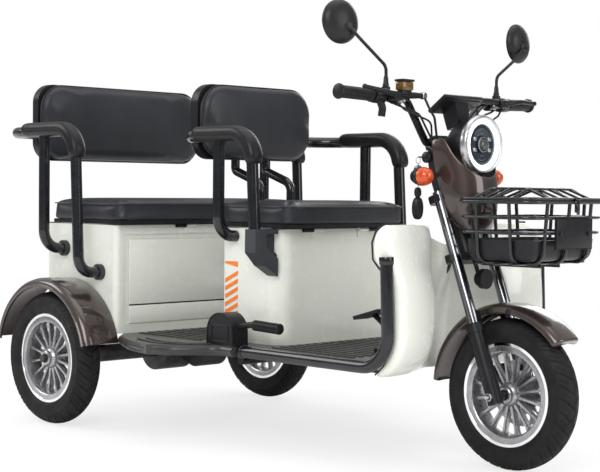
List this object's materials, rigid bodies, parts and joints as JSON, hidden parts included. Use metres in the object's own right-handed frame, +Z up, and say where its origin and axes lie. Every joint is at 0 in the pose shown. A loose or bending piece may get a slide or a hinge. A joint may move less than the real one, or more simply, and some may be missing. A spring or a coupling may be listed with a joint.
{
  "type": "three-wheeled electric passenger moped",
  "caption": "Open electric passenger tricycle: a fork-steered front wheel, a flat foot deck, bench seats over storage boxes, tubular arm hoops and a lidded wire basket.",
  "frame": {"origin": "on the ground, at the middle of the vehicle's length and width", "axes": "+X forward, +Y to the left, +Z up"},
  "size_m": [2, 1.06, 1.2689],
  "materials": {
    "white_body": "gloss",
    "tube_black": "gloss",
    "frame_black": "satin",
    "plastic_black": "matte",
    "deck_grey": "matte",
    "vinyl": "satin",
    "pad_foam": "matte",
    "tyre": "matte",
    "cast_silver": "satin",
    "steel": "brushed",
    "chrome": "polished",
    "bronze": "metallic gloss",
    "amber": "gloss",
    "lamp_glass": "clear",
    "battery_case": "matte",
    "motor_iron": "satin"
  },
  "bodies": {
    "chassis": {"main_frame": "frame_black", "drive_axle": "motor_iron", "rear_springs": "steel", "deck": "deck_grey", "deck_rails": "tube_black", "rear_box": "white_body", "front_box": "white_body", "battery": "battery_case", "front_hoop": "tube_black", "rear_hoop": "tube_black", "arm_pads": "pad_foam", "front_back_pad": "vinyl", "front_back_shell": "plastic_black", "rear_back_pad": "vinyl", "rear_back_shell": "plastic_black", "back_supports": "tube_black", "hoop_mounts": "plastic_black", "leg_shield": "white_body", "rear_fenders": "bronze", "hand_brake": "plastic_black", "brake_pedal": "frame_black", "seat_hinges": "steel"},
    "front_seat": {"front_cushion": "vinyl", "front_seat_pan": "plastic_black"},
    "rear_seat": {"rear_cushion": "vinyl", "rear_seat_pan": "plastic_black"},
    "steering": {"fork_yoke": "frame_black", "fork_stanchions": "chrome", "fork_lowers": "frame_black", "front_fender": "bronze", "handlebar": "tube_black", "grips": "pad_foam", "bar_controls": "plastic_black", "mirrors": "plastic_black", "headlight_bowl": "plastic_black", "headlight_bezel": "chrome", "headlight_glass": "lamp_glass", "head_cowl": "bronze", "signal_housings": "plastic_black", "signal_lenses": "amber", "dash": "plastic_black", "basket": "frame_black", "basket_floor": "frame_black", "basket_pan": "plastic_black", "front_plate": "plastic_black", "horn": "plastic_black"},
    "lid": {"basket_lid": "frame_black"},
    "front_wheel_set": {"front_tyre": "tyre", "front_wheel": "cast_silver", "front_disc": "steel"},
    "rear_right_wheel_set": {"rear_right_tyre": "tyre", "rear_right_wheel": "cast_silver"},
    "rear_left_wheel_set": {"rear_left_tyre": "tyre", "rear_left_wheel": "cast_silver"}
  },
  "joints": [
    {"name": "steering_turn", "type": "hinge", "parent": "chassis", "child": "steering", "pos_m": [0.63914, 0, 0.55974], "axis": [-0.3502, 0, 0.9367], "range_deg": [-38, 38]},
    {"name": "front_wheel_spin", "type": "hinge", "parent": "steering", "child": "front_wheel_set", "pos_m": [0.792, 0, 0.208], "axis": [0, 1, 0], "continuous": true},
    {"name": "rear_right_wheel_spin", "type": "hinge", "parent": "chassis", "child": "rear_right_wheel_set", "pos_m": [-0.683, -0.47, 0.212], "axis": [0, 1, 0], "continuous": true},
    {"name": "rear_left_wheel_spin", "type": "hinge", "parent": "chassis", "child": "rear_left_wheel_set", "pos_m": [-0.683, 0.47, 0.212], "axis": [0, 1, 0], "continuous": true},
    {"name": "front_seat_lift", "type": "hinge", "parent": "chassis", "child": "front_seat", "pos_m": [0.1385, 0, 0.639], "axis": [0, 1, 0], "range_deg": [0, 75]},
    {"name": "rear_seat_lift", "type": "hinge", "parent": "chassis", "child": "rear_seat", "pos_m": [-0.4485, 0, 0.639], "axis": [0, 1, 0], "range_deg": [0, 75]},
    {"name": "basket_lid_open", "type": "hinge", "parent": "steering", "child": "lid", "pos_m": [0.722, 0, 0.7413], "axis": [0, -1, 0], "range_deg": [0, 70]}
  ]
}
